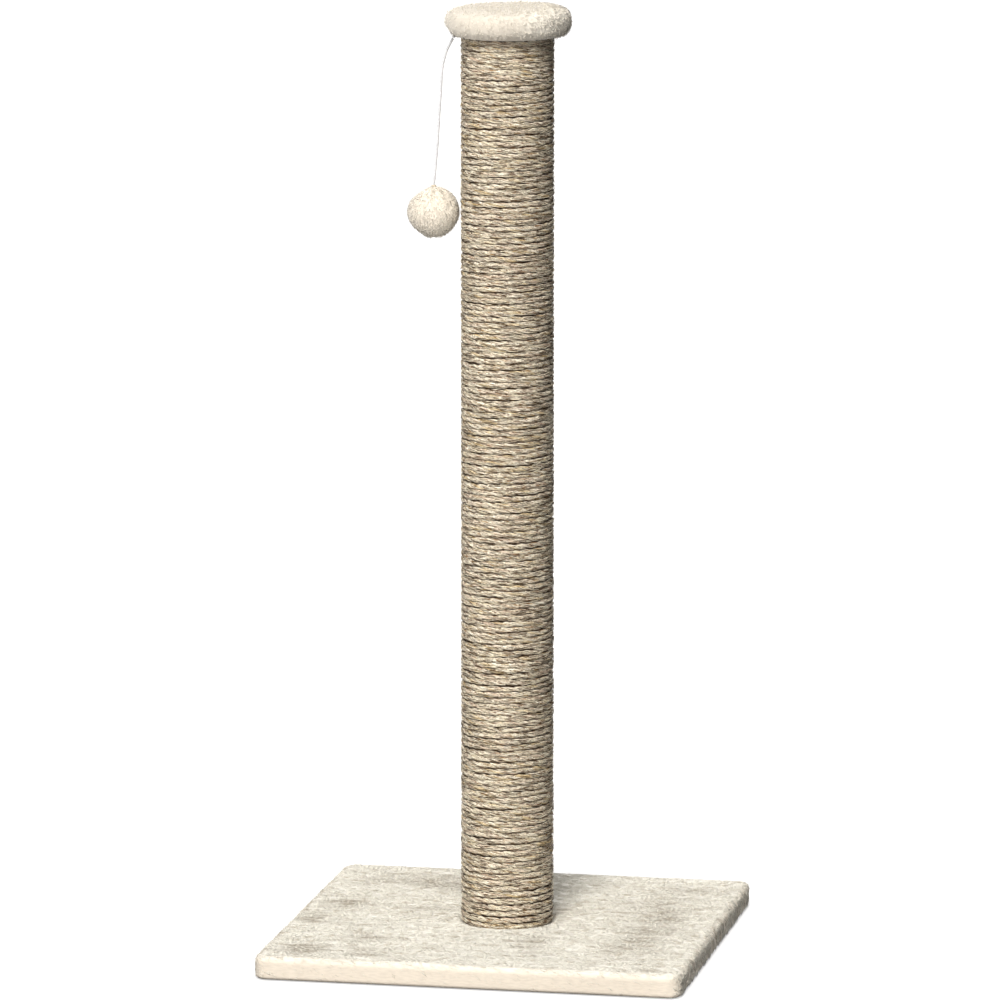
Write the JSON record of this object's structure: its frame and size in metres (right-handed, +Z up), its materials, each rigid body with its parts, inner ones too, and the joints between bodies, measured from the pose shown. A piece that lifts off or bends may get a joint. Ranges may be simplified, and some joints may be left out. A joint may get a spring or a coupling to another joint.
{
  "type": "cat scratching post",
  "caption": "Upright post wound with sisal rope on a square plush-covered base, with a padded plush cap and a plush ball toy hanging from the cap on an elastic cord.",
  "frame": {"origin": "on the floor under the centre of the base", "axes": "+Z up along the post; the toy hangs on the -X side; -Y is the front"},
  "size_m": [0.4, 0.4, 0.8867],
  "materials": {
    "particle_board": "sanded",
    "base_plush": "short pile",
    "cap_plush": "short pile",
    "ball_plush": "short pile",
    "staple_steel": "galvanised",
    "zinc_steel": "zinc plated",
    "pad_rubber": "matte",
    "cardboard": "wound paper",
    "plug_wood": "turned",
    "sisal": "twisted fibre",
    "foam": "open cell",
    "elastic": "braided",
    "fibre_fill": "loose fibre",
    "sewing_thread": "twisted"
  },
  "bodies": {
    "base": {"base_board": "particle_board", "base_plush_cover": "base_plush", "base_staples": "staple_steel", "foot_pad_front_left": "pad_rubber", "foot_pad_front_right": "pad_rubber", "foot_pad_rear_left": "pad_rubber", "foot_pad_rear_right": "pad_rubber", "base_bolt": "zinc_steel", "base_washer": "zinc_steel", "post_tube": "cardboard", "bottom_plug": "plug_wood", "bottom_tee_nut": "zinc_steel", "bottom_plug_staples": "staple_steel", "top_plug": "plug_wood", "top_tee_nut": "zinc_steel", "top_plug_staples": "staple_steel", "sisal_rope": "sisal", "rope_end_staples": "staple_steel", "cap_board": "particle_board", "cap_tee_nut": "zinc_steel", "cap_stud": "zinc_steel", "cap_foam": "foam", "cap_plush_cover": "cap_plush", "cap_staples": "staple_steel", "cord_staple": "staple_steel", "held_cord_end": "elastic"},
    "swing_knot": {"rim_knot": "elastic"},
    "cord": {"elastic_cord": "elastic"},
    "ball": {"ball_plush_cover": "ball_plush", "ball_stuffing": "fibre_fill", "ball_knot": "elastic", "ball_gather_thread": "sewing_thread"}
  },
  "joints": [
    {"name": "toy_swing_side", "type": "hinge", "parent": "base", "child": "swing_knot", "pos_m": [-0.05058, 0, 0.85777], "axis": [0, 1, 0], "range_deg": [0, 90]},
    {"name": "toy_swing_fore_aft", "type": "hinge", "parent": "swing_knot", "child": "cord", "pos_m": [-0.05058, 0, 0.85777], "axis": [1, 0, 0], "range_deg": [-80, 80]},
    {"name": "cord_stretch", "type": "slide", "parent": "cord", "child": "ball", "axis": [0, 0, -1], "range_m": [0, 0.1], "stiffness_N_per_m": 30, "springref_m": -0.00584, "deforming": ["elastic_cord"]}
  ]
}
